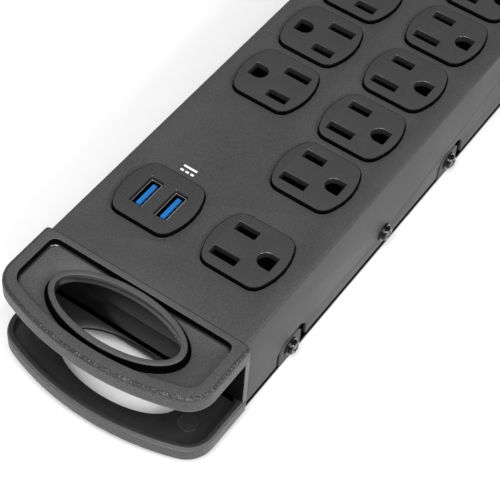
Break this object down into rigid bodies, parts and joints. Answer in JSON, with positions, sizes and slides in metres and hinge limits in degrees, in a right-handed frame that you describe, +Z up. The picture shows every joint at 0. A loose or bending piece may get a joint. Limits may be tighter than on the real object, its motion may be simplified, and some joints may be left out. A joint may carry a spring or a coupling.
{
  "type": "power strip",
  "caption": "Long metal-housed power strip with two columns of grounded outlets, a dual USB charger, a rocker switch, a reset button and moulded cord-wrap handles at both ends.",
  "frame": {"origin": "centre of the base plate's underside, on the surface that the strip stands on", "axes": "+X along the strip, from the plain end to the end where the cord enters; +Y toward the column with the USB charger; +Z up, out of the outlet faces"},
  "size_m": [0.3316, 0.0818, 0.04],
  "materials": {
    "painted_steel": "fine satin powder coat on folded steel sheet",
    "grained_plastic": "coarse spark-grained moulding",
    "moulded_black": "fine-grained dark grey moulding, glossier inside the slots",
    "liner_black": "plain black sheet",
    "brass_contact": "bare stamped brass",
    "black_screw": "glossy black-oxide steel",
    "plated_steel": "bright plated sheet",
    "blue_tongue": "smooth blue insulator",
    "circuit_board": "solder mask",
    "varistor_epoxy": "dipped epoxy",
    "gland_rubber": "smooth black rubber",
    "rocker_red": "translucent red moulding",
    "button_grey": "plain moulding"
  },
  "bodies": {
    "housing": {"top_cover": "painted_steel", "base_plate": "painted_steel", "liner": "liner_black", "near_cap_top": "grained_plastic", "near_cap_bottom": "grained_plastic", "far_cap_top": "grained_plastic", "far_cap_bottom": "grained_plastic", "outlet_01": "moulded_black", "outlet_02": "moulded_black", "outlet_03": "moulded_black", "outlet_04": "moulded_black", "outlet_05": "moulded_black", "outlet_06": "moulded_black", "outlet_07": "moulded_black", "outlet_08": "moulded_black", "outlet_09": "moulded_black", "outlet_10": "moulded_black", "outlet_11": "moulded_black", "outlet_12": "moulded_black", "usb_face": "moulded_black", "usb_shell_1": "plated_steel", "usb_shell_2": "plated_steel", "usb_tongue_1": "blue_tongue", "usb_tongue_2": "blue_tongue", "usb_board": "circuit_board", "line_bus_right": "brass_contact", "neutral_bus_right": "brass_contact", "ground_bus_right": "brass_contact", "line_bus_left": "brass_contact", "neutral_bus_left": "brass_contact", "ground_bus_left": "brass_contact", "surge_board": "circuit_board", "varistor_1": "varistor_epoxy", "varistor_2": "varistor_epoxy", "varistor_3": "varistor_epoxy", "switch_frame": "moulded_black", "breaker_body": "moulded_black", "cord_gland": "gland_rubber", "gland_ring": "moulded_black", "side_screw_01": "black_screw", "side_screw_02": "black_screw", "side_screw_03": "black_screw", "side_screw_04": "black_screw", "side_screw_05": "black_screw", "side_screw_06": "black_screw", "side_screw_07": "black_screw", "side_screw_08": "black_screw", "side_screw_09": "black_screw", "side_screw_10": "black_screw"},
    "rocker": {"switch_rocker": "rocker_red"},
    "reset_button": {"breaker_button": "button_grey"}
  },
  "joints": [
    {"name": "rocker_tilt", "type": "hinge", "parent": "housing", "child": "rocker", "pos_m": [0.111, -0.01785, 0.0332], "axis": [0, 1, 0], "range_deg": [-16, 0]},
    {"name": "reset_press", "type": "slide", "parent": "housing", "child": "reset_button", "axis": [0, 0, 1], "range_m": [-0.0018, 0], "stiffness_N_per_m": 400, "springref_m": 0.001}
  ]
}
